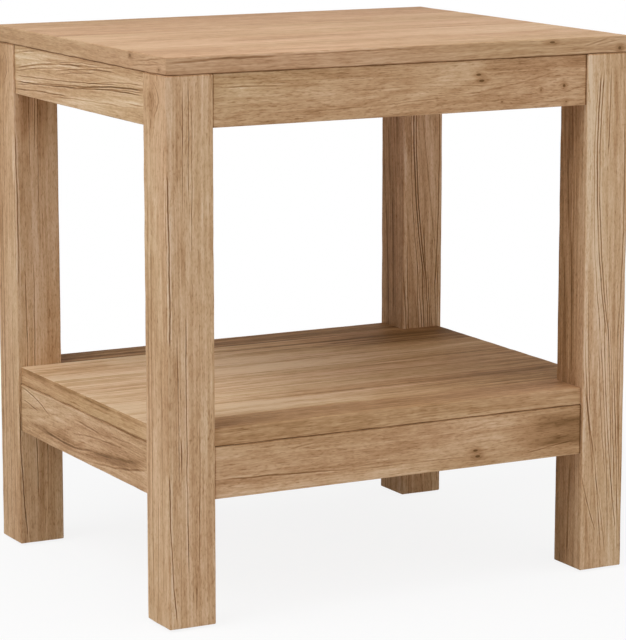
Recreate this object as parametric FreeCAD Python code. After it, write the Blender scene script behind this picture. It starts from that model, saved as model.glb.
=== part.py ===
import FreeCAD, Part
import math
import os

# End table with a shelf, in solid wood.
# Millimetres, +Z up. The origin is on the floor, under the middle of the table.
# The front looks along -Y, and the width lies along X.

# ---------------------------------------------------------------- driving dimensions

# Overall, over the outer faces of the legs and from the floor to the upper face of the top
table_width = 571.0
table_depth = 464.0
table_height = 610.0

# Legs
leg_size = 55.0

# Top, a panel of glued boards
top_thickness = 19.0
top_inset = 1.0              # behind the legs' outer faces
top_board_count = 5

# Aprons, under the top
apron_height = 56.5
apron_thickness = 22.0
apron_setback = 2.5          # behind the legs' outer faces

# Lower rails, under the shelf
rail_height = 56.5
rail_thickness = 22.0
rail_setback = 3.0           # behind the legs' outer faces

# Shelf, boards between the legs and a narrow board before and behind them
shelf_height = 215.0         # floor to the shelf's upper face
shelf_thickness = 20.0
shelf_inset = 4.0            # behind the legs' outer faces
shelf_board_count = 4

# Easing of the edges
corner_radius = 1.5          # along the upright edges of legs, top and shelf
edge_chamfer = 1.0           # round the ends of the legs and the faces of top and shelf
rail_radius = 1.0            # along the outer edges of aprons and rails

# Mortise and tenon joints
tenon_thickness = 10.0
tenon_shoulder = 7.0         # above and below a tenon
haunch_drop = 14.0           # from an apron's upper edge down to its tenon
haunch_length = 10.0         # of the short stub that fills the mortise's open end
glue_gap = 0.15              # round a tenon
mitre_gap = 1.5              # along a tenon, from its mitred end to the diagonal of the leg

# Corner blocks
block_height = 30.0
block_web = 24.0             # wood in front of the leg's inner corner
block_leg_gap = 0.5          # between a block and the leg it goes round

# Shelf fit
shelf_leg_gap = 0.3          # between the shelf and the legs' inner faces

# Screws
screw_radius = 2.0
screw_head_radius = 4.5
screw_head_height = 2.4
screw_bite = 14.0            # thread length in the piece that the screw holds
screw_tip = 4.0              # length of the point, within the bite
screw_seat = 15.0            # wood between the head and the face that the screw pulls up to
screw_bore_gap = 0.25        # round the shank
screw_pocket_gap = 1.0       # round the head

# Foot glides
glide_radius = 12.0
glide_thickness = 2.5
nail_width = 2.0             # of the square shank
nail_length = 16.0
nail_tip = 3.0               # length of the point
nail_blunt = 0.4             # width of the point's end
nail_seat = 1.2              # depth of the nail in the glide
nail_gap = 0.05              # round the nail

# ---------------------------------------------------------------- levels and places

top_underside = table_height - top_thickness
apron_bottom = top_underside - apron_height
shelf_underside = shelf_height - shelf_thickness
rail_bottom = shelf_underside - rail_height

UP = FreeCAD.Vector(0, 0, 1)
CENTRE = FreeCAD.Vector(0, 0, 0)
LEG_MIDDLE = FreeCAD.Vector(leg_size / 2, leg_size / 2, 0)    # from the leg's outer corner

# Each corner: its name, its turn about Z from the front left one, and the signs of its X and Y
CORNERS = [
    ("front_left", 0, -1, -1),
    ("front_right", 90, 1, -1),
    ("back_right", 180, 1, 1),
    ("back_left", 270, -1, 1),
]

# Each side: its name, its turn about Z from the front, the length over the legs
# and the distance from the middle of the table to the legs' outer face
SIDES = [
    ("front", 0, table_width, table_depth / 2),
    ("right", 90, table_depth, table_width / 2),
    ("back", 180, table_width, table_depth / 2),
    ("left", 270, table_depth, table_width / 2),
]


def box(low, high):
    """A box between two opposite corners."""
    size = [b - a for a, b in zip(low, high)]
    return Part.makeBox(*size, FreeCAD.Vector(*low))


def prism(outline, bottom, top):
    """An upright prism on a flat outline of (x, y) points."""
    points = [FreeCAD.Vector(x, y, bottom) for x, y in outline]
    wire = Part.makePolygon(points + points[:1])
    return Part.Face(wire).extrude(UP * (top - bottom))


def turned(profile):
    """A solid of revolution about Z, from (radius, height) points that start and end on the axis."""
    points = [FreeCAD.Vector(radius, 0, height) for radius, height in profile]
    wire = Part.makePolygon(points + points[:1])
    return Part.Face(wire).revolve(CENTRE, UP, 360)


def eased_box(low, high):
    """A box with rounded upright edges and a chamfer round its upper and lower faces."""
    block = box(low, high)
    upright = [edge for edge in block.Edges if edge.BoundBox.ZLength > corner_radius]
    block = block.makeFillet(corner_radius, upright)
    level = [edge for edge in block.Edges if edge.BoundBox.ZLength < corner_radius]
    return block.makeChamfer(edge_chamfer, level)


def at_corner(shape, corner):
    """A copy of a shape that was made with the leg's outer corner at the origin, put at its corner."""
    _, turn, x_sign, y_sign = corner
    placed = shape.copy()
    placed.rotate(CENTRE, UP, turn)
    placed.translate(FreeCAD.Vector(x_sign * table_width / 2, y_sign * table_depth / 2, 0))
    return placed


def at_all_corners(shape):
    """The copies of a corner's shape at the four corners."""
    return [at_corner(shape, corner) for corner in CORNERS]


# ---------------------------------------------------------------- screws and nails


def screw():
    """A flat-head wood screw along Z: it points up, and its head's seat is at z = 0."""
    length = screw_seat + screw_bite
    return turned([
        (0, -screw_head_height),
        (screw_head_radius, -screw_head_height),
        (screw_head_radius, 0),
        (screw_radius, 0),
        (screw_radius, length - screw_tip),
        (0, length),
    ])


def shank_hole():
    """The hole for a screw's shank, from the head's seat on."""
    return Part.makeCylinder(screw_radius + screw_bore_gap, screw_seat + screw_bite + screw_bore_gap)


def screw_pocket():
    """The pocket in a block that lets a screw's head in from below."""
    return Part.makeCylinder(screw_head_radius + screw_pocket_gap, block_height, UP * -block_height)


def at_screw(shape, level):
    """A screw's shape at the place of a block's screw, in the frame of the corner."""
    place = leg_size + block_web / 2 / math.sqrt(2)
    placed = shape.copy()
    placed.translate(FreeCAD.Vector(place, place, level.top - screw_seat))
    return placed


def square_pin(width, bottom, top):
    """An upright square pin on the middle of a leg, in the frame of the corner."""
    half = FreeCAD.Vector(width / 2, width / 2, 0)
    return box(LEG_MIDDLE - half + UP * bottom, LEG_MIDDLE + half + UP * top)


def nail():
    """The nail that holds a glide: a square shank with a point upwards, in the frame of the corner."""
    shoulder = nail_length - nail_tip
    half = nail_width / 2
    end = nail_blunt / 2
    point = Part.makeWedge(-half, 0, -half, -end, -end, half, nail_tip, half, end, end)
    point.rotate(CENTRE, FreeCAD.Vector(1, 0, 0), 90)
    point.translate(LEG_MIDDLE + UP * shoulder)
    shank = square_pin(nail_width, glide_thickness - nail_seat, shoulder)
    return shank.fuse(point)


def nail_hole():
    """The room for a glide's nail, in the frame of the corner."""
    return square_pin(nail_width + 2 * nail_gap, glide_thickness - nail_seat, nail_length + nail_gap)


# ---------------------------------------------------------------- what each level of rails shares


class Level:
    """A ring of four rails with the panel that lies on it, and the joints and blocks that hold both."""

    def __init__(self, bottom, panel_underside, thickness, setback, drop, haunch):
        self.bottom = bottom
        self.top = panel_underside
        self.thickness = thickness
        self.setback = setback
        self.inner_face = setback + thickness
        self.tenon_bottom = bottom + tenon_shoulder
        self.tenon_top = panel_underside - drop
        self.tenon_outer = setback + (thickness - tenon_thickness) / 2
        self.tenon_inner = self.tenon_outer + tenon_thickness
        self.haunch = haunch


upper = Level(apron_bottom, top_underside, apron_thickness, apron_setback, haunch_drop, haunch_length)
lower = Level(rail_bottom, shelf_underside, rail_thickness, rail_setback, tenon_shoulder, 0)


def pilot_holes(level):
    """The holes that a level's screws need in its panel."""
    return at_all_corners(at_screw(shank_hole(), level))


# ---------------------------------------------------------------- legs


def mortises(level):
    """A leg's two mortises for one level, which meet behind its outer corner."""
    near = level.tenon_outer - glue_gap
    far = level.tenon_inner + glue_gap
    bottom = level.tenon_bottom - glue_gap
    top = level.tenon_top + glue_gap
    cuts = [box((near, near, bottom), (leg_size, far, top)),
            box((near, near, bottom), (far, leg_size, top))]
    if level.haunch:
        start = leg_size - level.haunch - glue_gap
        cuts.append(box((start, near, top), (leg_size, far, top_underside)))
        cuts.append(box((near, start, top), (far, leg_size, top_underside)))
    return cuts


def leg():
    """One leg with its outer corner at the origin, between the glide and the top."""
    post = eased_box((0, 0, glide_thickness), (leg_size, leg_size, top_underside))
    return post.cut(mortises(upper) + mortises(lower) + [nail_hole()])


# ---------------------------------------------------------------- aprons and lower rails


def tenon(level, sign, length, reach):
    """A rail's tenon at its left (-1) or right (+1) end, mitred where it meets its neighbour's."""
    outer = level.tenon_outer
    inner = level.tenon_inner
    plan = [(leg_size, outer), (leg_size, inner), (inner + mitre_gap, inner), (outer + mitre_gap, outer)]
    outline = [(sign * (length / 2 - distance), depth - reach) for distance, depth in plan]
    return prism(outline, level.tenon_bottom, level.tenon_top)


def haunch(level, sign, length, reach):
    """The short stub above a tenon, up to the leg's end."""
    shoulder = length / 2 - leg_size
    near, far = sorted((sign * shoulder, sign * (shoulder + level.haunch)))
    return box((near, level.tenon_outer - reach, level.tenon_top),
               (far, level.tenon_inner - reach, level.top))


def outer_long_edges(stick):
    """The two edges along X of a stick's outer face, which looks along -Y."""
    outer = stick.BoundBox.YMin + rail_radius
    return [edge for edge in stick.Edges
            if edge.BoundBox.YMax < outer and edge.BoundBox.ZLength < rail_radius]


def rail(side, level):
    """One apron or lower rail, cut to length between the legs, with a tenon at each end."""
    _, turn, length, reach = side
    end = length / 2 - leg_size
    outer = level.setback - reach
    stick = box((-end, outer, level.bottom), (end, outer + level.thickness, level.top))
    stick = stick.makeFillet(rail_radius, outer_long_edges(stick))
    for sign in (-1, 1):
        stick = stick.fuse(tenon(level, sign, length, reach))
        if level.haunch:
            stick = stick.fuse(haunch(level, sign, length, reach))
    stick = stick.removeSplitter()
    stick.rotate(CENTRE, UP, turn)
    return stick


# ---------------------------------------------------------------- top and shelf


def eased_panel(inset, underside, thickness):
    """A rectangular panel within the legs' outer faces, eased all round."""
    x = table_width / 2 - inset
    y = table_depth / 2 - inset
    return eased_box((-x, -y, underside), (x, y, underside + thickness))


def strip(panel, front, back):
    """The part of a panel between two places along Y."""
    return panel.common(box((-table_width, front, 0), (table_width, back, table_height)))


def top_boards():
    """The boards of the top, from front to back."""
    panel = eased_panel(top_inset, top_underside, top_thickness).cut(pilot_holes(upper))
    front = top_inset - table_depth / 2
    width = -2 * front / top_board_count
    return {f"top_board_{n + 1}": strip(panel, front + n * width, front + (n + 1) * width)
            for n in range(top_board_count)}


def leg_clearances():
    """The posts of space that the legs take out of the shelf."""
    cut = leg_size + shelf_leg_gap
    return at_all_corners(box((-cut, -cut, shelf_underside), (cut, cut, shelf_height)))


def shelf_boards():
    """The boards of the shelf, from front to back."""
    panel = eased_panel(shelf_inset, shelf_underside, shelf_thickness)
    panel = panel.cut(leg_clearances() + pilot_holes(lower))
    edge = table_depth / 2
    inner = edge - leg_size - shelf_leg_gap
    width = 2 * inner / shelf_board_count
    boards = {"shelf_front_board": strip(panel, -edge, -inner),
              "shelf_back_board": strip(panel, inner, edge)}
    for n in range(shelf_board_count):
        boards[f"shelf_board_{n + 1}"] = strip(panel, n * width - inner, (n + 1) * width - inner)
    return boards


# ---------------------------------------------------------------- corner blocks and glides


def corner_block(level):
    """A block in the corner behind a leg, against two rails and the panel above."""
    start = leg_size + block_leg_gap
    face = level.inner_face
    reach = 2 * leg_size + block_web * math.sqrt(2) - face
    outline = [(start, face), (reach, face), (face, reach), (face, start), (start, start)]
    block = prism(outline, level.top - block_height, level.top)
    return block.cut([at_screw(shank_hole(), level), at_screw(screw_pocket(), level)])


def glide():
    """A plastic glide under the middle of a leg, in the frame of the corner."""
    disc = Part.makeCylinder(glide_radius, glide_thickness, LEG_MIDDLE)
    return disc.cut(nail_hole())


# ---------------------------------------------------------------- the whole table


def table():
    """Every piece by its name."""
    at_each_corner = {
        "leg": leg(),
        "top_block": corner_block(upper),
        "shelf_block": corner_block(lower),
        "glide": glide(),
    }
    pieces = {}
    for kind, shape in at_each_corner.items():
        for corner in CORNERS:
            pieces[f"{kind}_{corner[0]}"] = at_corner(shape, corner)
    for side in SIDES:
        pieces[f"apron_{side[0]}"] = rail(side, upper)
        pieces[f"rail_{side[0]}"] = rail(side, lower)
    pieces.update(top_boards())
    pieces.update(shelf_boards())
    pieces["top_screws"] = Part.makeCompound(at_all_corners(at_screw(screw(), upper)))
    pieces["shelf_screws"] = Part.makeCompound(at_all_corners(at_screw(screw(), lower)))
    pieces["glide_nails"] = Part.makeCompound(at_all_corners(nail()))
    return pieces


os.makedirs("parts", exist_ok=True)
for piece_name, piece in table().items():
    piece.exportStep(f"parts/{piece_name}.step")
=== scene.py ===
import itertools
import math
from collections import namedtuple
from typing import NamedTuple

import bpy
import numpy as np
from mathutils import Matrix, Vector


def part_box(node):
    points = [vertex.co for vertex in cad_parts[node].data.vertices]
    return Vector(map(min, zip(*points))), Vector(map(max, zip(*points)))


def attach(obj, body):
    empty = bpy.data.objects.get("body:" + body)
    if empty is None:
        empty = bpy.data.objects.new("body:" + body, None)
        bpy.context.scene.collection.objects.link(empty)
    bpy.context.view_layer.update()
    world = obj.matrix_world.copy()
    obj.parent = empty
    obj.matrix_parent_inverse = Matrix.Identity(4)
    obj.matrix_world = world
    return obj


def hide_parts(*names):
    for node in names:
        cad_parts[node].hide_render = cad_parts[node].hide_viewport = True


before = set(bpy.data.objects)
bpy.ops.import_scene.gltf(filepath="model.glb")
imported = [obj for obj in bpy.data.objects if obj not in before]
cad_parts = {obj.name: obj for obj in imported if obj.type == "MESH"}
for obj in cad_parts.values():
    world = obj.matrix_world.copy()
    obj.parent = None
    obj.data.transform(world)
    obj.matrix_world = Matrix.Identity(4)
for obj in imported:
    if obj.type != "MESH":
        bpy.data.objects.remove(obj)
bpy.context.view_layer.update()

# An end table with a shelf, in light brushed hardwood.
# Metres, in the frame of the CAD model: +Z up, and the front looks along -Y.

MM = 0.001
X, Y, Z = SPACE = (0, 1, 2)

# ---- camera, lamps and floor

CAMERA_PLACE = (-1.5843, -2.9962, 0.8996)
CAMERA_YAW = 28.013  # degrees to the right of +Y
CAMERA_PITCH = 10.441  # degrees below the horizon
CAMERA_LENS = 167.92  # mm
CAMERA_SENSOR = 36.0  # mm on the picture's long side
CAMERA_REACH = 100.0  # how far it sees

FLOOR_SIZE = 60.0
FLOOR_COLOUR = (0.90, 0.90, 0.90)
FLOOR_GLOW = 0.87  # share of plain white in what the camera sees of the floor by the table
FLOOR_NEAR, FLOOR_FAR = 0.5, 1.3  # where that share starts to grow, and where the floor is all white
WORLD_LIGHT = 0.24  # strength of the world as a light
LAMP_TARGET = Vector((0.0, 0.0, 0.30))
LAMP_DISTANCE = 2.6
LAMP_SIZE = 1.6

COOL, WHITE = (0.97, 1.0, 1.03), (1.0, 1.0, 1.0)
SEEN_BY = ("Is Camera Ray", "Is Glossy Ray", "Is Transmission Ray")  # rays that see a white background

# Each lamp: azimuth from the front towards +X and elevation in degrees, power in watts, and colour
LAMPS = {
    "key": (-75, 50, 26.0, COOL),
    "front_fill": (5, 35, 8.6, WHITE),
    "overhead": (0, 88, 7.5, COOL),
    "high_front": (-20, 62, 3.8, WHITE),
    "left_fill": (-100, 35, 9.0, COOL),
    "right_fill": (45, 40, 9.6, WHITE),
}

# ---- surface and joints

ARRIS = 1.5 * MM  # radius of an eased edge
RAIL_ARRIS = 1.0 * MM  # and of an apron's or rail's
WEAR = 0.45  # share by which an arris grows and shrinks along its length
WEAR_SPAN = 22 * MM  # and over what length
DENT = 2.5 * MM  # how much rounder an arris is per unit of noise above the start of dents
DENT_START = 0.55
DENT_SPAN = 34 * MM
WAVE = 0.12 * MM  # unevenness of a planed face
WAVE_SPAN = 48 * MM
FACE_SEAM = 1.8 * MM  # how wide the painted shade lies in the seam over a leg or under a panel
SHOULDER_SEAM = 2.2 * MM  # against a leg
RAIL_SEAM = 1.4 * MM  # and over an apron or rail
EASED_LINES = (0.0, 0.4 * MM, 0.8 * MM, 1.2 * MM, 1.7 * MM, 2.5 * MM, 4.0 * MM)
STEP_ALONG = 4.0 * MM
STEP_ACROSS = 2.5 * MM
SAME_LINE = 0.05 * MM  # closer grid lines are one

TENON = 10 * MM
SHOULDER = 7 * MM  # below a tenon, and above a rail's
HAUNCH_DROP = 14 * MM  # above an apron's tenon
HAUNCH_LENGTH = 10 * MM
GLUE_GAP = 0.15 * MM

# ---- numbers in space


HASH_PRIMES = np.array([73856093, 19349663, 83492791])


def lattice_noise(points, seed):
    """Smooth noise from -1 to 1 at points whose unit is one lattice cell."""
    cell = np.floor(points).astype(np.int64)
    part = points - cell
    blend = part * part * (3 - 2 * part)
    total = np.zeros(len(points))
    for corner in itertools.product((0, 1), repeat=3):
        mixed = (cell + corner) @ HASH_PRIMES + seed * 7919
        mixed = ((mixed ^ (mixed >> 13)) * 1274126177) & 0x7FFFFFFF
        mixed = (mixed ^ (mixed >> 15)) & 0xFFFF
        weight = np.prod(np.where(corner, blend, 1 - blend), axis=1)
        total += weight * (mixed / 32767.5 - 1)
    return total


def sine(value):
    """The sine of an array or a field."""
    return value.math("SINE") if isinstance(value, Field) else np.sin(value)


def multiply_add(value, factor, extra):
    """An array or a field times a factor, plus something more."""
    if isinstance(value, Field):
        return value.math("MULTIPLY_ADD", factor, extra)
    return value * factor + extra


def smooth_fall(value, low, high, start=1.0):
    """From start where an array or a field is below low to 0 where it is above high."""
    if isinstance(value, Field):
        return value.ramp(low, high, start, 0.0)
    part = np.clip((value - low) / (high - low), 0, 1)
    return start * (1 - part * part * (3 - 2 * part))


# ---- node arithmetic


def add_node(tree, kind, **settings):
    """A new shader node of a kind."""
    node = tree.nodes.new("ShaderNode" + kind)
    for name, value in settings.items():
        setattr(node, name, value)
    return node


def put(socket, value):
    """Links a field or an output to a socket, or sets the socket to a plain value."""
    if isinstance(value, Field):
        value = value.socket
    if isinstance(value, bpy.types.NodeSocket):
        socket.id_data.links.new(value, socket)
    else:
        socket.default_value = value


def feed(node, *values):
    """Puts values into a node's first sockets, and gives its first output."""
    for socket, value in zip(node.inputs, values):
        put(socket, value)
    return node.outputs[0]


class Field:
    """A number that varies over a surface: a node's output, on which arithmetic adds Math nodes."""

    def __init__(self, socket):
        self.socket = socket
        self.tree = socket.id_data

    def math(self, operation, *others):
        """The outcome of a Math node on this number and others."""
        return Field(feed(add_node(self.tree, "Math", operation=operation), self, *others))

    def __add__(self, other):
        return self.math("ADD", other)

    def __sub__(self, other):
        return self.math("SUBTRACT", other)

    def __mul__(self, other):
        return self.math("MULTIPLY", other)

    def __abs__(self):
        return self.math("ABSOLUTE")

    def ramp(self, low, high, start=0.0, end=1.0):
        """From start below low to end above high, and smooth between them."""
        node = add_node(self.tree, "MapRange", interpolation_type="SMOOTHSTEP")
        return Field(feed(node, self, low, high, start, end))


def parts_of(vector):
    """The three parts of a vector."""
    node = add_node(vector.id_data, "SeparateXYZ")
    feed(node, vector)
    return [Field(output) for output in node.outputs]


def joined(fields):
    """A vector of three fields."""
    return feed(add_node(fields[0].tree, "CombineXYZ"), *fields)


def vector_math(operation, *vectors):
    """The outcome of a Vector Math node on an output and plain vectors."""
    node = add_node(vectors[0].id_data, "VectorMath", operation=operation)
    feed(node, *vectors)
    return node.outputs["Value" if operation == "LENGTH" else "Vector"]


def noise(place, frequency, detail=2.0, roughness=0.5, offset=0.0):
    """Three noises about 0 at a place, with a frequency along each axis in turns a metre."""
    node = add_node(place.id_data, "TexNoise")
    node.inputs["Scale"].default_value = 1.0
    node.inputs["Detail"].default_value = detail
    node.inputs["Roughness"].default_value = roughness
    put(node.inputs["Vector"], vector_math("MULTIPLY_ADD", place, frequency, (offset, offset, offset)))
    return parts_of(vector_math("SUBTRACT", node.outputs["Color"], (0.5, 0.5, 0.5)))


# The sockets of a Mix node for vectors and colours: the first, the second and the output
MIX_SOCKETS = {"VECTOR": (4, 5, 1), "RGBA": (6, 7, 2)}


def mix(tree, kind, share, first, second, blend="MIX"):
    """A share of the way from the first vector or colour to the second."""
    node = add_node(tree, "Mix", data_type=kind, blend_type=blend)
    place, other, output = MIX_SOCKETS[kind]
    for number, value in ((0, share), (place, first), (other, second)):
        put(node.inputs[number], value)
    return node.outputs[output]


def object_place(tree):
    """Places in the frame of the table."""
    return add_node(tree, "TexCoord").outputs["Object"]


def attribute(tree, name, output):
    """An output of a mesh's own attribute."""
    return add_node(tree, "Attribute", attribute_name=name).outputs[output]


# ---- marks in the wood

# The local frame of a board: along it from the table's middle or the floor, and across it and through it from
# its own middle.
ALONG, ACROSS, DEPTH = 0, 1, 2

# The faces that a mark can name: the axis that the face looks along, its side, and the face's own two axes
FACES = {
    "near": (DEPTH, -1, ALONG, ACROSS), "far": (DEPTH, 1, ALONG, ACROSS),
    "low": (ACROSS, -1, ALONG, DEPTH), "high": (ACROSS, 1, ALONG, DEPTH),
    "start": (ALONG, -1, ACROSS, DEPTH), "end": (ALONG, 1, ACROSS, DEPTH),
}

# A vein is a line on one face, darker than the wood or, below 0, lighter. It goes from (start, first) to
# (end, last) in the face's two axes and bows aside between them, all in millimetres. A narrow one has paler
# flanks. With a depth it is also cut, as an open check.
# Some broad veins are bands of painted shade and light.
Vein = namedtuple("Vein", "face start first end last width dark bow depth", defaults=(0, 0))
NARROW = 2  # mm
FLANK = 0.45  # how much paler the flanks are, as a share of dark
VEIN_FADE, CHECK_FADE = 25, 12  # mm over which they end
WOBBLES = ((95.0, 0.25 * MM), (370.0, 0.12 * MM))  # a check's: radians per metre, and how far aside
CHECK_ROOM = 12 * MM  # how far round a check the grid moves with it

# A knot has its place and radius in millimetres, and is longer along the grain than across by its stretch.
Knot = namedtuple("Knot", "face along across radius dark stretch")


def marks(kind, **faces):
    """Veins or knots, by face, from rows of the other values in the order above."""
    return tuple(kind(face, *row) for face, rows in faces.items() for row in rows)


def vein_path(vein, along):
    """How far across its face a vein lies, in metres, for an array or a field of places along."""
    length = (vein.end - vein.start) * MM
    slope = ((vein.last - vein.first) * MM + 4 * vein.bow * MM) / length
    gone = along - vein.start * MM
    if vein.bow:
        slope = multiply_add(gone, -4 * vein.bow * MM / length ** 2, slope)
    path = multiply_add(gone, slope, vein.first * MM)
    if vein.depth:
        for pace, aside in WOBBLES:
            path = multiply_add(sine(along * pace), aside, path)
    return path


def vein_reach(vein, along):
    """1 along a vein, and 0 past its ends."""
    half = (vein.end - vein.start) / 2 * MM
    fade = min(max(CHECK_FADE if vein.depth else VEIN_FADE, 3 * vein.width) * MM, half * 0.7)
    return smooth_fall(abs(along - (vein.start + vein.end) / 2 * MM), half - fade, half)


# ---- boards as meshes

# A board fills its solid boxes less its hollow ones, and the first solid one is its body. It is eased as if
# cut from its envelope. A lipped board's ends show long grain, the same wood on all boards of a panel.
Board = namedtuple("Board", "name axes timber solids hollows envelope easing seams lipped", defaults=(False,))

# A seam is where a board meets another and painted shade darkens it: the board's axis that it lies across,
# its place on that axis, how wide the painted shade is, and whether it lies on the eased edges alone.
Seam = namedtuple("Seam", "axis place width on_arris")


def grid_lines(low, high, step, stops=()):
    """Lines across a board, close together where its edges are eased and about a step apart elsewhere."""
    fixed = {low + eased for eased in EASED_LINES} | {high - eased for eased in EASED_LINES} | set(stops)
    fixed = sorted(place for place in fixed if low <= place <= high)
    lines = [fixed[0]]
    for start, end in zip(fixed, fixed[1:]):
        if end - start > SAME_LINE:
            lines.extend(np.linspace(start, end, max(1, round((end - start) / step)) + 1)[1:])
    return np.array(lines)


def cells_within(lines, low, high):
    """Which cells of a grid lie in a box."""
    inside = []
    for line, start, end in zip(lines, low, high):
        middle = (line[1:] + line[:-1]) / 2
        inside.append((middle > start) & (middle < end))
    return inside[X][:, None, None] & inside[Y][None, :, None] & inside[Z][None, None, :]


def check_lines(board, axis, middle):
    """The grid lines that a board's open checks need across one axis."""
    found = set()
    for vein in board.timber.veins:
        if vein.depth and board.axes[FACES[vein.face][3]] == axis:
            line = middle + (vein.first + vein.last) / 2 * MM
            found |= {line + side * vein.width / 2 * MM for side in (-1, 0, 1)}
    return found


def board_grid(board):
    """A board's grid lines along each axis, and which cells between them it fills."""
    lines = []
    for axis in SPACE:
        low, high = (corner[axis] for corner in board.solids[0])
        stops = {corner[axis] for box in board.solids + board.hollows for corner in box}
        beyond = {stop for stop in stops if not low - SAME_LINE < stop < high + SAME_LINE}
        stops |= check_lines(board, axis, (low + high) / 2)
        step = STEP_ALONG if axis == board.axes[ALONG] else STEP_ACROSS
        lines.append(np.array(sorted({*grid_lines(low, high, step, stops), *beyond})))
    filled = np.any([cells_within(lines, *solid) for solid in board.solids], axis=0)
    for hollow in board.hollows:
        filled &= ~cells_within(lines, *hollow)
    return lines, filled


def skin(lines, filled):
    """The points and outward quads of the closed surface round the filled cells of a grid."""
    quads = []
    for axis in SPACE:
        padding = [(1, 1) if other == axis else (0, 0) for other in SPACE]
        change = np.diff(np.pad(filled, padding).astype(int), axis=axis)
        right, up = (axis + 1) % 3, (axis + 2) % 3
        for sign in (1, -1):
            at = np.argwhere(change == sign)
            corners = []
            for steps_right, steps_up in ((0, 0), (1, 0), (1, 1), (0, 1)):
                corner = at.copy()
                corner[:, right] += steps_right
                corner[:, up] += steps_up
                corners.append(corner)
            quads.append(np.stack(corners[::-1] if sign == 1 else corners, axis=1))
    quads = np.concatenate(quads)
    shape = [len(line) for line in lines]
    keys = np.ravel_multi_index(quads.reshape(-1, 3).T, shape)
    used, index = np.unique(keys, return_inverse=True)
    places = np.unravel_index(used, shape)
    points = np.stack([lines[axis][places[axis]] for axis in SPACE], axis=1)
    return points, index.reshape(-1, 4)


def ease(points, low, high, radius, seed):
    """Points of a box with its edges rounded by a radius that wanders, and its faces a little uneven.
    Also gives how near each point is to an eased edge, from 0 to 1."""
    wander = lattice_noise(points / WEAR_SPAN, seed)
    dents = np.clip(lattice_noise(points / DENT_SPAN, seed + 1) - DENT_START, 0, 1)
    radius = (radius * (1 + WEAR * wander) + dents * DENT)[:, None]
    inner = np.clip(points, low + radius, high - radius)
    out = points - inner
    longest = np.abs(out).max(axis=1)
    length = np.linalg.norm(out, axis=1)
    near = length > 1e-9
    scale = np.where(near, longest / np.where(near, length, 1), 1)
    moved = inner + out * scale[:, None]
    normal = np.where(near[:, None], out / np.where(near, length, 1)[:, None], 0)
    on_surface = longest / radius[:, 0] > 0.999
    wave = WAVE * (0.5 + 0.5 * lattice_noise(points / WAVE_SPAN, seed + 2)) * on_surface
    second = np.sort(np.abs(out), axis=1)[:, 1]
    return moved - normal * wave[:, None], np.clip(second / radius[:, 0], 0, 1)


def mesh_of(name, points, quads):
    """A smooth mesh of points and quads, sharp where its faces turn by more than 40 degrees."""
    mesh = bpy.data.meshes.new(name)
    mesh.vertices.add(len(points))
    mesh.vertices.foreach_set("co", points.astype(np.float32).ravel())
    mesh.loops.add(quads.size)
    mesh.loops.foreach_set("vertex_index", quads.astype(np.int32).ravel())
    mesh.polygons.add(len(quads))
    mesh.polygons.foreach_set("loop_start", np.arange(0, quads.size, 4, dtype=np.int32))
    mesh.update(calc_edges=True)
    mesh.shade_smooth()
    mesh.set_sharp_from_angle(angle=math.radians(40))
    return mesh


def follow_checks(points, grain, half, board):
    """Moves the grid of a board's faces sideways, so that one of its lines follows each open check.
    Gives how far the checks sink each point."""
    sunk = np.zeros_like(points)
    for vein in board.timber.veins:
        if not vein.depth:
            continue
        normal, side, run, lateral = FACES[vein.face]
        face = np.abs(grain[:, normal] - side * half[normal]) < 1e-7
        reach = vein_reach(vein, grain[face, run])
        line = (vein.first + vein.last) / 2 * MM
        off = grain[face, lateral] - line
        room = np.where(off * line > 0, half[lateral] - abs(line), CHECK_ROOM)
        held = (vein.width / 2 + 0.1) * MM
        pull = np.clip((room - np.abs(off)) / (room - held), 0, 1) * reach
        chosen = points[face]
        chosen[:, board.axes[lateral]] += (vein_path(vein, grain[face, run]) - line) * pull
        points[face] = chosen
        gap = np.clip(1 - np.abs(off) / (vein.width / 2 * MM), 0, 1)
        sunk[face, board.axes[normal]] = -side * gap * reach * vein.depth * MM
    return sunk


def add_object(name, data):
    """A new object in the scene."""
    added = bpy.data.objects.new(name, data)
    bpy.context.scene.collection.objects.link(added)
    return added


def add_piece(name, mesh, node, material):
    """Makes a mesh the Blender piece that replaces a CAD node."""
    mesh.materials.append(material)
    piece = add_object(name, mesh)
    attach(piece, "root")
    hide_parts(node)
    return piece


def build(board):
    """The Blender piece of a board."""
    points, quads = skin(*board_grid(board))
    low, high = np.array(board.envelope)
    body_low, body_high = (np.array(corner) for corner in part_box(board.name))
    axes = list(board.axes)
    middle = (body_low + body_high) / 2
    middle[axes[ALONG]] = 0
    half = ((body_high - body_low) / 2)[axes]
    ends = (body_low[axes[ALONG]], body_high[axes[ALONG]])
    sunk = follow_checks(points, (points - middle)[:, axes], half, board)
    grain = (points - middle)[:, axes].astype(np.float32)
    eased, arris = ease(points, low, high, board.easing, sum(map(ord, board.name)))
    mesh = mesh_of(board.name, eased + sunk, quads)
    mesh.attributes.new("grain", "FLOAT_VECTOR", "POINT").data.foreach_set("vector", grain.ravel())
    mesh.attributes.new("arris", "FLOAT", "POINT").data.foreach_set("value", arris.astype(np.float32))
    return add_piece(board.name + "_wood", mesh, board.name, wood(board, half, ends))


# ---- wood


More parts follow.
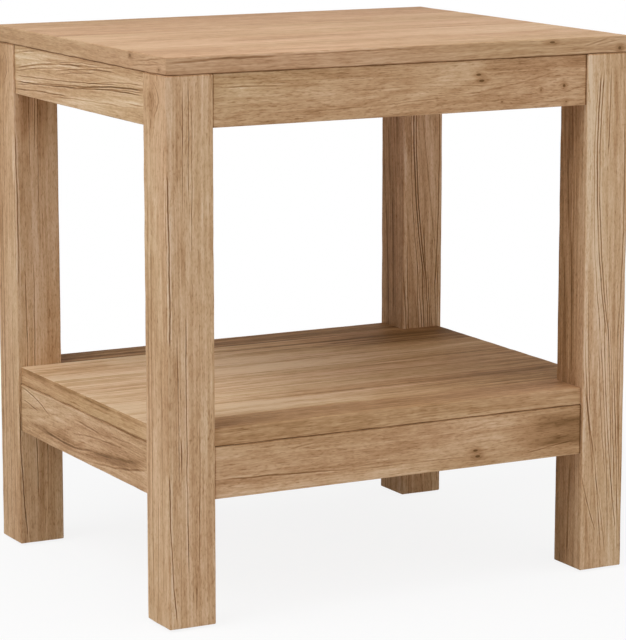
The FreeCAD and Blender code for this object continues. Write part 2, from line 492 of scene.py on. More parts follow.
class Timber(NamedTuple):
    """How a board's wood looks. Lengths are in millimetres."""
    shade: float = 0.60  # how light it is, from 0 to 1
    side: float = 0.0  # what its narrow faces add to that: painted shade below 0, painted light above 0
    end: float = -0.05  # what its ends add to it, or on a lipped board the lipping's own shade
    fade: float = 0.0  # what a metre of length adds to it, painted shade on the shelf and the front right leg
    lipping: float = 0.0  # and what a metre of lipping adds
    warm: float = 0.0  # from greenish -1 to pinkish 1
    amber: float = 0.0  # how much less blue it is
    pith: tuple = (90, 60)  # across and through the board to the heart of the tree
    tilt: tuple = (0.0, 0.0)  # how the heart runs off, across and through, per metre along
    ring: float = 5.0  # width of a growth ring
    lines: float = 0.5  # strength of the dark lines between the rings,
    streaks: float = 0.8  # of the bands and streaks along the grain,
    mottle: float = 0.5  # of the mottle
    pores: float = 1.0  # and of the pores
    grit: float = 1.0  # how fast fibres and pores change along the grain
    sway: float = 4.0  # how far the grain wanders
    gloss: float = 0.12  # the sheen
    seam_shade: float = 0.40  # how dark the painted shade is in the seams against other pieces
    veins: tuple = ()
    knots: tuple = ()


# The colour of wood from dark to light
WOOD_TONES = [
    (0.00, (0.170, 0.083, 0.030)), (0.21, (0.278, 0.143, 0.061)), (0.38, (0.405, 0.221, 0.105)),
    (0.54, (0.535, 0.313, 0.165)), (0.71, (0.662, 0.430, 0.254)), (0.88, (0.770, 0.545, 0.358)),
    (1.00, (0.840, 0.630, 0.450)),
]
GREENISH = (0.970, 1.0, 0.930)
PINKISH = (1.020, 0.975, 0.990)
PANEL_SEED = 4.1  # of the noise on all boards of the top and shelf
PANEL_SHIFT = 0.7  # metres that one board's noise lies from the next one's


def blank_material(name):
    """A new material, its tree and its shader."""
    material = bpy.data.materials.new(name)
    material.use_nodes = True
    return material, material.node_tree, material.node_tree.nodes["Principled BSDF"]


def paint(shader, colour, roughness, gloss=0.5):
    """Gives a shader its colour, roughness and sheen."""
    put(shader.inputs["Base Color"], colour)
    put(shader.inputs["Roughness"], roughness)
    shader.inputs["Specular IOR Level"].default_value = gloss


def bump(shader, height, distance):
    """Gives a shader relief from a height of 1 for a distance."""
    node = add_node(height.tree, "Bump")
    node.inputs["Strength"].default_value = 0.6
    node.inputs["Distance"].default_value = distance
    put(node.inputs["Height"], height)
    put(shader.inputs["Normal"], node.outputs[0])


def closeness(place, half, ends, face):
    """1 at a face of a board, and 0 a few millimetres deeper in it."""
    normal, side, _, _ = FACES[face]
    surface = ends[(side + 1) // 2] if normal == ALONG else side * half[normal]
    return smooth_fall(abs(place[normal] - surface), 4 * MM, 7 * MM)


def vein_marks(place, shaken, nearness, veins):
    """How dark the veins make each point."""
    totals = {}
    for vein in veins:
        _, _, run, lateral = FACES[vein.face]
        where = place if vein.depth else shaken
        off = abs(where[lateral] - vein_path(vein, place[run]))
        width = vein.width * MM
        narrow = vein.width < NARROW
        mark = smooth_fall(off, width * 0.3, width, vein.dark * (1 + FLANK if narrow else 1))
        if narrow:
            mark = mark + smooth_fall(off, width * 0.9, width * 2.4, -FLANK * vein.dark)
        total = totals.get(vein.face, 0.0)
        totals[vein.face] = multiply_add(mark, vein_reach(vein, place[run]), total)
    marks = [total * nearness[face] for face, total in totals.items()]
    return sum(marks[1:], marks[0])


def knot_mark(place, nearness, knot):
    """How dark a knot makes each point, the axis along which it pushes the grain aside, and by how much."""
    _, _, run, lateral = FACES[knot.face]
    radius = knot.radius * MM
    along = (place[run] - knot.along * MM) * (1 / (radius * knot.stretch))
    across = (place[lateral] - knot.across * MM) * (1 / radius)
    away = (along * along + across * across).math("SQRT")
    core, rim = smooth_fall(away, 0.5, 1.15, knot.dark), smooth_fall(away, 1.0, 3.4, knot.dark * 0.3)
    shove = across * smooth_fall(away, 0.0, 4.5, -0.75 * radius)
    return core.math("MAXIMUM", rim) * nearness[knot.face], lateral, shove * nearness[knot.face]


def tone_ramp(lightness):
    """The colour of wood at each point, from how light it is."""
    node = add_node(lightness.tree, "ValToRGB")
    stops = node.color_ramp.elements
    while len(stops) < len(WOOD_TONES):
        stops.new(0.5)
    for stop, (position, colour) in zip(stops, WOOD_TONES):
        stop.position = position
        stop.color = (*colour, 1.0)
    return feed(node, lightness)


def end_lipping(tree, here, shift, on_end):
    """A board's own places, shifted along it, but on its ends the table's places with the grain along Y."""
    moved = vector_math("ADD", here, (shift, 0.0, 0.0))
    x, y, z = parts_of(object_place(tree))
    return mix(tree, "VECTOR", on_end, moved, joined((y, z, x)))


def wood(board, half, ends):
    """The material of one board, worked out from its own frame of grain."""
    timber = board.timber
    material, tree, shader = blank_material("wood_" + board.name)
    number = sum(map(ord, board.name)) % 97
    here = attribute(tree, "grain", "Vector")
    place = local = parts_of(here)
    normal = parts_of(add_node(tree, "NewGeometry").outputs["Normal"])
    on_end = abs(normal[board.axes[ALONG]]).math("GREATER_THAN", 0.7)
    seed = 1.37 * number
    if board.lipped:
        seed = PANEL_SEED
        here = end_lipping(tree, here, number * PANEL_SHIFT, on_end)
        local = parts_of(here)
    marked = {mark.face for mark in timber.veins + timber.knots}
    nearness = {face: closeness(place, half, ends, face) for face in FACES if face in marked}

    # The grain wanders slowly, shivers a little along the board, and goes round the knots.
    slow = noise(here, (2.6, 11, 11), 1.0, offset=seed)
    quick = noise(here, (38, 60, 60), 1.5, offset=seed + 5)
    shaken = [place[ALONG]]
    bent = [local[ALONG]]
    for axis in (ACROSS, DEPTH):
        shaken.append(multiply_add(quick[axis], timber.sway * 0.5 * MM, place[axis]))
        bent.append(multiply_add(slow[axis], timber.sway * 4 * MM, local[axis]))
    knots = None
    for knot in timber.knots:
        dark, axis, shove = knot_mark(place, nearness, knot)
        bent[axis] = bent[axis] + shove
        knots = dark if knots is None else knots.math("MAXIMUM", dark)
    along, across, depth = bent
    grain = joined(bent)

    # Growth rings round the heart of the tree
    from_pith = []
    for axis, pith, tilt in zip((across, depth), timber.pith, timber.tilt):
        from_pith.append(multiply_add(along, -tilt, axis - pith * MM))
    radius = multiply_add(from_pith[0], from_pith[0], from_pith[1] * from_pith[1]).math("SQRT")
    turned = joined((along, radius, across))
    ring = timber.ring * MM
    drift = noise(turned, (0.8, 0.33 / ring, 0), 1.0, offset=seed + 11)[0]
    turns = multiply_add(drift, 2.6, multiply_add(radius, 1 / ring, 40.0))
    part = turns.math("FRACT")
    chance = add_node(tree, "TexWhiteNoise", noise_dimensions="1D")
    put(chance.inputs["W"], turns.math("FLOOR") + seed)
    strength = Field(chance.outputs["Value"]).math("POWER", 1.8)
    patchy = multiply_add(noise(grain, (6, 40, 40), 1.0, 0.5, seed + 13)[0], 2.4, 1.2)
    late = part.math("POWER", 7.0) * smooth_fall(part, 0.94, 1.0) * multiply_add(strength, 1.2, 0.2) * patchy

    # Bands that follow the rings, streaks along the grain, mottle, pores and fibres, each with its frequency
    # along, across and through the board
    bands = noise(turned, (1.4, 0.55 / ring, 5), 2.5, 0.55, seed + 17)[0]
    streaks = noise(grain, (4.0, 300, 300), 3.0, 0.75, seed + 23)[0]
    mottle = noise(grain, (30, 110, 110), 2.0, 0.6, seed + 29)
    tone = noise(here, (3.4, 10, 10), 1.5, 0.5, seed + 31)
    dashes = noise(grain, (42 * timber.grit, 620, 620), 1.0, 0.5, seed + 37)[0].ramp(0.09, 0.22)
    dashes = dashes * multiply_add(mottle[1], 2.4, 0.75).ramp(0.1, 1.0)
    pinholes = noise(grain, (120 * timber.grit, 900, 900), 0.0, 0.5, seed + 39)[0].ramp(0.10, 0.24)
    fibre = noise(grain, (80 * timber.grit, 720, 720), 2.0, 0.65, seed + 41)[0]

    lightness = multiply_add(place[ALONG], timber.fade, timber.shade)
    if board.lipped:
        lipping = multiply_add(local[ALONG], timber.lipping, timber.end)
        lightness = lightness + on_end * (lipping - lightness)
        calm = multiply_add(on_end, -0.5, 1.0)
        bands, streaks = bands * calm, streaks * calm
    else:
        lightness = multiply_add(on_end, timber.end, lightness)
    for field, weight in (
        (bands, 0.78 * timber.streaks), (streaks, 0.95 * timber.streaks), (mottle[0], 0.60 * timber.mottle),
        (tone[0], 0.34), (fibre, 0.36), (late, -0.34 * timber.lines), (dashes, -0.15 * timber.pores),
        (pinholes, -0.10 * timber.pores),
    ):
        lightness = multiply_add(field, weight, lightness)

    # Painted shade on the narrow faces, and painted light where side is above 0
    lightness = multiply_add(abs(normal[board.axes[ACROSS]]), timber.side, lightness)
    arris = Field(attribute(tree, "arris", "Fac"))
    lightness = multiply_add(arris * quick[0], 0.18, lightness)
    # Painted shade in the seams against other pieces, a little uneven along them
    for seam in board.seams:
        shade_in_seam = smooth_fall(abs(place[seam.axis] - seam.place), seam.width * 0.6, seam.width, timber.seam_shade)
        if seam.on_arris:
            shade_in_seam = shade_in_seam * arris
        lightness = lightness - shade_in_seam * multiply_add(quick[1], 1.6, 1.0)

    relief = fibre * 0.7
    for field, weight in ((late, -0.5 * timber.lines), (dashes, -0.9), (pinholes, -0.5), (streaks, 0.8)):
        relief = multiply_add(field, weight, relief)
    if timber.veins:
        broken = multiply_add(fibre, 1.6, multiply_add(mottle[2], 1.5, 1.3))
        veins = vein_marks(place, shaken, nearness, timber.veins) * broken
        lightness = lightness - veins
        relief = relief - veins
    if knots is not None:
        lightness = lightness - knots
        relief = relief - knots

    greenish, pinkish = ((red, green, blue - timber.amber, 1.0) for red, green, blue in (GREENISH, PINKISH))
    hue = mix(tree, "RGBA", multiply_add(tone[1], 1.4, 0.45 + timber.warm * 0.5), greenish, pinkish)
    colour = mix(tree, "RGBA", 1.0, tone_ramp(lightness), hue, "MULTIPLY")
    paint(shader, colour, multiply_add(dashes, 0.12, multiply_add(streaks, 0.25, 0.62)), timber.gloss)
    bump(shader, relief, 0.35 * MM)
    return material


# ---- the table's boards

LEVELS = ("apron", "rail")
LEG_AXES, WIDE_AXES, DEEP_AXES, PANEL_AXES = (Z, X, Y), (X, Z, Y), (Y, Z, X), (X, Y, Z)

LEG_LOW, LEG_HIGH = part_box("leg_front_left")
LEG_SIZE = LEG_HIGH.x - LEG_LOW.x


def joint(level):
    """A level's tenons: their near and far sides behind the legs' outer faces, and their levels."""
    low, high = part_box(f"{level}_front")
    near = low.y - LEG_LOW.y + (high.y - low.y - TENON) / 2
    top = high.z - (HAUNCH_DROP if level == "apron" else SHOULDER)
    return near, near + TENON, low.z + SHOULDER, top, high.z


def leg(name, timber):
    """A leg with the mortises for its aprons and rails."""
    low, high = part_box(name)
    x_sign = 1 if "right" in name else -1
    y_sign = 1 if "back" in name else -1
    outer = Vector((high.x if x_sign > 0 else low.x, high.y if y_sign > 0 else low.y, 0))

    def place(x, y, z):
        """A point at distances from the leg's outer corner."""
        return outer.x - x_sign * x, outer.y - y_sign * y, z

    pockets = []
    for level in LEVELS:
        near, far, bottom, top, head = joint(level)
        near, far, bottom, top = near - GLUE_GAP, far + GLUE_GAP, bottom - GLUE_GAP, top + GLUE_GAP
        mortises = [(near, bottom, top)]
        if level == "apron":
            mortises.append((LEG_SIZE - HAUNCH_LENGTH - GLUE_GAP, top, head))
        for start, foot, head in mortises:
            pockets.append((place(start, near, foot), place(LEG_SIZE, far, head)))
            pockets.append((place(near, start, foot), place(far, LEG_SIZE, head)))
    hollows = [list(zip(*map(sorted, zip(*pocket)))) for pocket in pockets]
    seams = (Seam(ALONG, high.z, FACE_SEAM, True),)
    build(Board(name, LEG_AXES, timber, [(low, high)], hollows, (low, high), ARRIS, seams))


def rail(name, timber):
    """An apron or lower rail with its tenons, which are mitred where they meet inside the legs."""
    level, side = name.split("_")
    low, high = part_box(name)
    along, through = (X, Y) if side in ("front", "back") else (Y, X)
    near, far, bottom, top, _ = joint(level)
    outward = -1 if side in ("front", "left") else 1
    face = -LEG_LOW[through] * outward
    shoulder = -LEG_LOW[along] - LEG_SIZE
    tenon_sides = sorted((face - outward * near, face - outward * far))

    def span(end, bottom, top, sides):
        """Corners of a box as long as end each way."""
        corners = [[0, 0, bottom], [0, 0, top]]
        for corner, sign, side_place in zip(corners, (-1, 1), sides):
            corner[along] = sign * end
            corner[through] = side_place
        return corners

    sides = (low[through], high[through])
    solids = [span(shoulder, low.z, high.z, sides), span(high[along], bottom, top, tenon_sides)]
    if level == "apron":
        solids.append(span(shoulder + HAUNCH_LENGTH, top, high.z, tenon_sides))
    envelope = span(high[along] + 1.0, low.z, high.z, sides)
    seams = [Seam(ALONG, place, SHOULDER_SEAM, False) for place in (shoulder, -shoulder)]
    seams.append(Seam(ACROSS, (high.z - low.z) / 2, RAIL_SEAM, True))
    axes = WIDE_AXES if along == X else DEEP_AXES
    piece = build(Board(name, axes, timber, solids, [], envelope, RAIL_ARRIS, seams))
    mitre(piece.data, along, through, high[along], tenon_sides[0] if outward < 0 else tenon_sides[1])


def mitre(mesh, along, through, end, outer_side):
    """Slants the tenons' ends at 45 degrees, from their outer sides in."""
    points = np.zeros(len(mesh.vertices) * 3, np.float32)
    mesh.vertices.foreach_get("co", points)
    points = points.reshape(-1, 3)
    tip = np.abs(points[:, along]) > end - 1e-6
    points[tip, along] -= np.sign(points[tip, along]) * np.abs(points[tip, through] - outer_side)
    mesh.vertices.foreach_set("co", points.ravel())
    mesh.update()


def panel(timbers):
    """The boards of the top or the shelf by name, cut from one eased panel."""
    boxes = {name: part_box(name) for name in timbers}
    low = [min(box[0][axis] for box in boxes.values()) for axis in SPACE]
    high = [max(box[1][axis] for box in boxes.values()) for axis in SPACE]
    for name, timber in timbers.items():
        seams = (Seam(DEPTH, (boxes[name][0].z - boxes[name][1].z) / 2, FACE_SEAM, True),)
        build(Board(name, PANEL_AXES, timber, [boxes[name]], [], (low, high), ARRIS, seams, True))


# ---- the timber of each board

# On a leg a mark's place along is its height over the floor. Near is the front face and low the left one.
LEFT_LEG = Timber(
    shade=0.765, side=-0.06, pith=(150, 30), ring=5.5, lines=0.35, streaks=0.75, mottle=0.6, pores=1.25,
    grit=2,
    veins=marks(Vein, near=[
        (470, -14, 591, -12.5, 5, 0.08, 1), (455, -2.5, 591, -1, 0.9, 0.3, 0.5),
        (440, -8.8, 588, -7.6, 0.9, 0.24), (390, 1, 570, 2.4, 0.9, 0.22, 0.5),
        (50, -4.2, 345, -5.4, 1, 0.34, -1), (150, -15, 330, -16.5, 1, 0.26, 0.5),
        (360, -8, 440, -10.5, 4, 0.08), (240, -17, 310, -18, 5, 0.08), (110, 8, 235, 9, 1, 0.14, 0.8),
        (8, 3.5, 58, 5.5, 1.1, 0.14), (306, -24.4, 492, -26.2, 1.3, 0.42, 0.8, 0.9),
        (6, -18.5, 176, -26.2, 1.1, 0.3, -2, 0.6), (60, 8, 152, 8.6, 1, 0.22),
        (165, -11.5, 215, -12.5, 1.2, 0.3),
    ], low=[
        (8, 1, 150, -0.6, 1.8, 0.14, -1.5), (150, -0.6, 330, 3, 1.6, 0.07),
        (300, -25.6, 486, -26.2, 1.4, 0.2), (8, 12, 420, 11, 2.2, 0.15, 0.5),
        (120, 19.5, 500, 18.5, 2.2, 0.12), (20, -13, 300, -12, 2, 0.12), (8, 22.5, 200, 22.5, 2.4, 0.14),
        (-60, 0, 190, 0, 30, 0.04), (450, 0, 700, 0, 30, 0.01), (524, 10, 640, 10, 19, 0.075),
        (544, 4, 586, 5, 1.8, 0.17, -15), (550, 7, 578, 9, 1.5, 0.1, -8), (545, 12, 567, 11, 5, -0.05),
    ]),
    knots=marks(Knot, low=[(565, 10, 10, 0.12, 1.3), (27, -25, 1.6, 0.25, 1.2), (135, 9, 1.8, 0.12, 1.4)]),
)

# Its fade is painted shade, darker towards the top of the leg
RIGHT_LEG = Timber(
    shade=0.785, side=-0.18, fade=-0.12, warm=0.15, pith=(-40, 95), tilt=(-0.1, 0.0), ring=4.2, lines=0.8,
    streaks=0.85, pores=1.1, sway=3, grit=2.3,
    veins=marks(Vein, near=[
        (268, 3.9, 578, -9.3, 1.4, 0.36, -9.4), (268, 6.4, 578, -5.3, 1.3, 0.33, -9.4),
        (300, -8, 560, -13.5, 1.1, 0.22, -6), (472, 1.6, 582, 3.6, 1.2, 0.3),
        (255, 17.6, 520, 22.4, 1.3, 0.24, 3), (20, 9.5, 330, -11, 1.1, 0.24, 3.5),
        (60, 14, 350, 0.5, 1.1, 0.24, 2), (10, 23, 240, 13, 1.2, 0.26, 1.5),
        (90, 23.5, 310, 23, 1.1, 0.24, -1.5), (180, -17, 330, -22, 1.1, 0.22, -1), (470, 12, 591, 14, 4, 0.1),
        (128, -10, 278, -25, 1.3, 0.3, -4), (14, 0.5, 136, -10.5, 1.2, 0.28, 0.5),
        (40, -4.5, 114, -27, 1.1, 0.28, -2), (14, 6.5, 122, -11, 1.1, 0.2, 1.5),
        (100, 6, 302, -7, 1.1, 0.24, -3.3), (36, 21, 302, -0.6, 1.2, 0.3, -3.8),
        (95, 16.5, 296, 6.8, 1, 0.22, 1), (115, 21.5, 300, 18, 1.1, 0.18), (130, -14, 220, -24.5, 1.1, 0.22),
    ], low=[
        (385, 6, 480, 12, 2.4, 0.2), (222, -3, 388, 1.5, 2.4, 0.2, -1.5), (222, 9, 372, 16, 2.8, 0.16, -1),
        # The last four marks are broad bands of painted light and shade on the inner face: lighter by the
        # front edge and at the foot, darker towards the back and under the apron
        (6, 1, 132, -3.5, 2.5, 0.2), (-60, -26, 650, -26, 17, -0.12), (-60, 22, 650, 22, 22, 0.05),
        (430, 0, 660, 0, 30, 0.06), (-60, 0, 150, 0, 30, -0.065),
    ]),
)

# On an apron or rail it is measured from the middle of the table.
FRONT_APRON = Timber(
    shade=0.565, pith=(20, 70), tilt=(0.1, 0.05), lines=0.25, streaks=0.68, mottle=0.65, pores=1.3, sway=5,
    grit=1.5,
    veins=marks(Vein, near=[
        (-229, 13.2, -140, 11.6, 1.3, 0.2, 0.5), (55, -9.8, 198, 12.4, 1.3, 0.09, -3.5),
        (-115, -16.5, 60, -9.8, 1.1, 0.1, -1.5), (-60, 2, 120, -1, 1.2, 0.07, 2),
        (150, -14, 250, -8, 22, -0.08), (-229, 5, -50, 0, 9, -0.06), (190, 23, 250, 22, 13, 0.11),
        (80, 17, 205, 18, 13, 0.06),
    ]),
    knots=marks(Knot, near=[
        (91, 12, 1.6, 0.66, 2.4), (95, 5.2, 1.7, 0.7, 2.4), (201, -5.2, 2.1, 0.66, 1.1),
        (171, -8.5, 1.7, 0.4, 0.8), (121, -19, 1.1, 0.5, 1.2), (204, -23, 1.2, 0.4, 1.2),
    ]),
)

LEFT_APRON = Timber(
    shade=0.7, pith=(-60, 40), tilt=(-0.08, 0.0), ring=6, lines=0.35, streaks=0.9, mottle=0.4, pores=0.6,
    grit=1.4,
    veins=marks(Vein, near=[
        (-178, 8.6, 5, -5.8, 1.3, 0.36, 2), (-8, -5.6, 178, -17.5, 1.2, 0.28, 2),
        (-178, 2.5, 5, -6.6, 1.2, 0.32, 2.3), (20, -17, 178, -22.5, 1.2, 0.28, 1),
        (-110, 8.2, 178, -6.8, 1, 0.28, -1.6), (25, -7, 178, -13, 1, 0.3, -1),
        (-25, 20.3, 178, 1.3, 1.4, 0.28, 3.4), (-115, 26.5, -15, 20.3, 1, 0.24, -1),
        (105, 27, 178, 19.3, 1.1, 0.26), (-178, -8.5, -125, -9.7, 1.1, 0.26),
        (-108, 20.5, 64, 7.2, 1, 0.26, 3), (-60, 16, 60, 4, 0.9, 0.22, 1),
        (-178, 13.5, -20, 0.5, 1, 0.22, 2.5), (-178, 5.6, -40, -3, 1, 0.24, 1.5),
        (-30, -1.5, 178, -14.8, 1.1, 0.26, 0.5), (30, 13, 178, -2.2, 1, 0.22, 2),
        (-70, 24, 90, 13.5, 0.9, 0.2, 3), (-120, -14, 60, -21, 1, 0.18, 1), (60, 22, 190, 12, 12, -0.07),
        (-190, -19, 40, -22, 11, -0.05),
    ]),
)

FRONT_RAIL = Timber(
    shade=0.66, pith=(15, 60), tilt=(-0.06, 0.04), ring=5.5, lines=0.22, streaks=0.65, mottle=0.55, pores=1.1,
    sway=5, grit=1.5,
    veins=marks(Vein, near=[
        (-229, -7.8, -55, -13.8, 1.3, 0.2, 0.6), (-60, -13.8, 92, -15.5, 1.1, 0.12),
        (-142, 16.8, -103, 21.6, 1.3, 0.14), (145, -22, 229, -11.5, 1.1, 0.14, 1),
        # The broad band from 130 mm on is painted shade, darker towards the rail's right end
        (60, 12, 112, 21, 1.6, 0.1), (115, 2, 200, 4, 15, 0.08), (130, 3, 340, 3, 30, 0.26),
        (-229, -21, 60, -24, 8, -0.07),
    ]),
    knots=marks(Knot, near=[(92, -9.6, 1.6, 0.66, 2.4), (95, -16.6, 1.8, 0.68, 2.2)]),
)

LEFT_RAIL = Timber(
    shade=0.62, pith=(-30, 50), tilt=(-0.1, 0.05), ring=6, lines=0.35, mottle=0.65, sway=6, seam_shade=0.55,
    grit=1.6,
    veins=marks(Vein, near=[
        (86, 4.2, 178, 24.5, 1.4, 0.34, 4.4), (120, 4, 178, 11.5, 1.2, 0.24, 1),
        (-32, -9.5, 114, -11.5, 1.8, 0.22, -6.5), (-155, 0.2, -22, -12.6, 2.4, 0.16),
        (-178, 2.9, 128, -11.3, 10, 0.15, -9.3), (-120, 8.5, 30, -2, 1.4, 0.14, 3),
        (-178, -1.5, -12, -24, 1.6, 0.16, -3.5), (-64, 9.5, 28, 16.5, 1.5, 0.14, 2),
        (-150, 18, -70, 15, 1.2, 0.1, 1), (60, -14, 150, -12, 3, 0.08), (40, 0, 300, 0, 30, 0.04),
    ]),
)

PLAIN = Timber(pith=(60, 70), ring=5.5, lines=0.4, mottle=0.7, grit=1.5)


def veined(look, *veins, **changes):
    """A panel board's look with veins on its upper face."""
    return look._replace(veins=marks(Vein, far=veins), **changes)


# On a board of the top or shelf, low is its front edge, far its upper face and start its left end.
TOP_LOOK = Timber(
    end=0.575, fade=0.08, pith=(10, -120), ring=7, lines=0.15, streaks=0.65, mottle=0.4, pores=0.7, sway=6,
    gloss=0.2, amber=-0.03, lipping=-0.12,
)
TOP = {
    "top_board_1": TOP_LOOK._replace(
        veins=marks(Vein, low=[
            (-284, 3.5, -148, 5.2, 1.6, 0.2, 1.4), (-238, 6, -162, 5, 3.2, 0.1), (-150, 5.4, 5, 7, 1.3, 0.14),
            (222, -2, 262, 8.5, 1.4, 0.16), (238, -0.5, 276, 6, 1.2, 0.14),
        ], start=[
            (-46, 8, 36, -0.5, 1.4, 0.14), (-46, 2.5, 46, -6, 1.3, 0.12),
        ]),
        knots=marks(Knot, low=[
            (184, 5.6, 1.5, 0.62, 3), (272.5, -4.3, 2.1, 0.6, 1.2),
        ], start=[
            (40.8, 5, 2.2, 0.42, 1.6), (-30.2, -4.5, 1.7, 0.36, 1.4),
        ]),
    ),
    "top_board_2": veined(TOP_LOOK, (-160, 2, -40, 4, 7, 0.06), shade=0.61),
    "top_board_3": veined(TOP_LOOK, (-195, 22, -25, 22, 5, 0.08), shade=0.65),
    "top_board_4": veined(TOP_LOOK, (-150, -24, -30, -22, 6, 0.05), shade=0.57, warm=-0.1),
    "top_board_5": veined(
        TOP_LOOK, (-175, -41, -20, -39, 6, 0.1), (80, -46, 240, -48, 6, 0.06), shade=0.51, fade=0,
    ),
}

# On the shelf, the negative fades and the 60 mm bands are painted shade: the boards darken towards their
# right ends, the fourth board most, and bands at the left ends keep those from growing too light
SHELF_LOOK = Timber(
    shade=0.76, side=-0.17, end=0.63, fade=-0.72, pith=(150, -60), ring=9, lines=0.2, streaks=1.35,
    mottle=0.6, pores=0.9, sway=5, gloss=0.05, amber=0.05, lipping=-0.7,
)
SHELF = {
    "shelf_front_board": SHELF_LOOK._replace(shade=0.49, side=0.06, fade=-0.1, streaks=0.7, amber=0),
    "shelf_board_1": veined(
        SHELF_LOOK, (-165, 32, 10, 33, 3, 0.12), (-105, 15.5, 70, 16, 2.5, 0.09),
        (85, -36, 195, -20, 2, 0.12), (95, -28, 255, -12, 2, 0.12), (-290, 5, -40, -12, 26, -0.06),
        (-400, 0, -115, 0, 60, 0.1), shade=0.73, fade=-1.1,
    ),
    "shelf_board_2": veined(
        SHELF_LOOK, (-105, -40, 90, -40.5, 3, 0.09), (-250, -5, -90, -2, 3, 0.07),
        (-400, 0, -115, 0, 60, 0.15), shade=0.81, fade=-1,
    ),
    "shelf_board_3": veined(
        SHELF_LOOK, (60, -2, 180, -1, 5, 0.12, 1), (-110, -26, -20, -27, 3.5, 0.12),
        (-400, 0, -115, 0, 60, 0.1), shade=0.77,
    ),
    "shelf_board_4": veined(
        SHELF_LOOK, (-45, 15, 165, 15.5, 4, 0.2, 0.5), (-285, 12.5, -120, 4.5, 4, 0.12),
        (-45, -5.5, 70, -6, 3.5, 0.12), (90, 0, 220, -1, 3.5, 0.12), (60, 0, 420, 0, 60, 0.2),
        (-400, 0, -115, 0, 60, 0.16), shade=0.73, fade=-1.2,
    ),
    "shelf_back_board": SHELF_LOOK._replace(shade=0.37, side=0.17, fade=-0.05, lines=0.35),
}

LEGS = {
    "leg_front_left": LEFT_LEG,
    "leg_front_right": RIGHT_LEG,
    "leg_back_right": RIGHT_LEG._replace(shade=0.675, side=-0.165, fade=0),
    "leg_back_left": LEFT_LEG._replace(side=-0.075, veins=LEFT_LEG.veins + marks(
        Vein,
        # These broad bands on the front face are painted shade and light: darker under the apron and at the
        # foot, lighter between; the band on the low face lightens its foot again
        near=[(440, 0, 740, 0, 30, 0.19), (230, 0, 440, 0, 30, -0.065), (-60, 0, 180, 0, 30, 0.09)],
        low=[(-60, 0, 190, 0, 30, -0.045)],
    )),
}
RAILS = {
    "apron_front": FRONT_APRON, "apron_left": LEFT_APRON, "apron_right": PLAIN, "apron_back": PLAIN,
    "rail_front": FRONT_RAIL, "rail_left": LEFT_RAIL, "rail_right": PLAIN, "rail_back": PLAIN,
}
for name, timber in LEGS.items():
    leg(name, timber)
for name, timber in RAILS.items():
    rail(name, timber)
panel(TOP)
panel(SHELF)

# ---- blocks, glides, screws and nails

# The darkest and palest tones of sawn wood, zinc-plated steel and nylon
SAWN_TONES = (0.60, 0.42, 0.24, 1.0), (0.86, 0.72, 0.52, 1.0)
STEEL_TONES = (0.46, 0.44, 0.39, 1.0), (0.70, 0.68, 0.62, 1.0)
NYLON_TONES = (0.16, 0.13, 0.105, 1.0), (0.24, 0.21, 0.18, 1.0)

SCREW_HEAD = 2.4 * MM  # height of a screw's head
SCREW_HEAD_RADIUS = 4.5 * MM
SCREW_SHANK = 2.0 * MM  # radius
SCREW_PLAIN = 12 * MM  # length of the shank without a thread
SCREW_TIP = 4.0 * MM
THREAD_PITCH = 1.8 * MM
THREAD_DEPTH = 0.45 * MM
THREAD_STEP = 0.3 * MM  # between the shank's rings
RECESS_REACH = 2.7 * MM  # from a head's middle to the ends of its cross recess
RECESS_SIDE = 0.6 * MM  # and from the middle of an arm to its side
RECESS_DEPTH = 1.4 * MM
TURN_POINTS = 48  # round a turned piece

# Outlines of turned pieces, from the middle of the underside out: radii and levels over the underside, in mm
SCREW_DOME = (
    (0.15, 0.0), (0.4, 0.0), (0.6, 0.0), (0.8, 0.01), (1.1, 0.02), (1.4, 0.03), (1.8, 0.06), (2.2, 0.1),
    (2.6, 0.15), (3.1, 0.25), (3.6, 0.4), (4.0, 0.6), (4.3, 0.9), (4.5, 1.4), (4.5, 2.0), (4.4, 2.4),
)
GLIDE_OUTLINE = (
    (0.3, 0.0), (5.0, 0.02), (9.5, 0.08), (10.9, 0.2), (11.5, 0.45), (11.85, 0.8), (12.0, 1.3), (12.0, 2.3),
    (11.8, 2.5), (1.5, 2.5),
)


def sawn_wood(name, angle):
    """Sawn softwood whose grain lies level, at an angle from the X axis."""
    material, tree, shader = blank_material(name)
    turn = add_node(tree, "VectorRotate", rotation_type="Z_AXIS")
    turn.inputs["Angle"].default_value = -angle
    grain = feed(turn, object_place(tree))
    bands = noise(grain, (6, 260, 120), 2.0, 0.6, 3.1)
    fibre = noise(grain, (60, 1600, 1600), 2.0, 0.6, 7.3)[0]
    saw = noise(grain, (700, 25, 25), 1.0, 0.5, 5.7)[0]
    share = multiply_add(bands[0], 2.2, multiply_add(fibre, 0.8, multiply_add(saw, 0.5, 0.55)))
    paint(shader, mix(tree, "RGBA", share, *SAWN_TONES), multiply_add(bands[1], 0.3, 0.75), 0.15)
    bump(shader, saw * 1.5 + fibre, 0.3 * MM)
    return material


def cloudy(name, tones, share, roughness, *noises):
    """A material, its shader and the third of the noises that make it cloudy."""
    material, tree, shader = blank_material(name)
    clouds = noise(object_place(tree), *noises)
    colour = mix(tree, "RGBA", clouds[0] * 2.0 + share, *tones)
    paint(shader, colour, multiply_add(clouds[1], 0.5, roughness))
    return material, shader, clouds[2]


def make_steel():
    """Zinc-plated steel with a slightly cloudy surface."""
    material, shader, _ = cloudy("screw_steel", STEEL_TONES, 0.5, 0.38, (900, 900, 900), 3.0, 0.6, 1.9)
    shader.inputs["Metallic"].default_value = 1.0
    return material


def make_nylon():
    """Matte dark brown nylon, a little scuffed."""
    material, shader, scuffs = cloudy(
        "glide_plastic", NYLON_TONES, 0.45, 0.55, (260, 420, 420), 3.0, 0.65, 4.4,
    )
    bump(shader, scuffs, 0.15 * MM)
    return material


def dress(name, material):
    """Gives a CAD node a material."""
    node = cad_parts[name]
    if not node.material_slots:
        node.data.materials.append(material)
    for place in node.material_slots:
        place.material = material


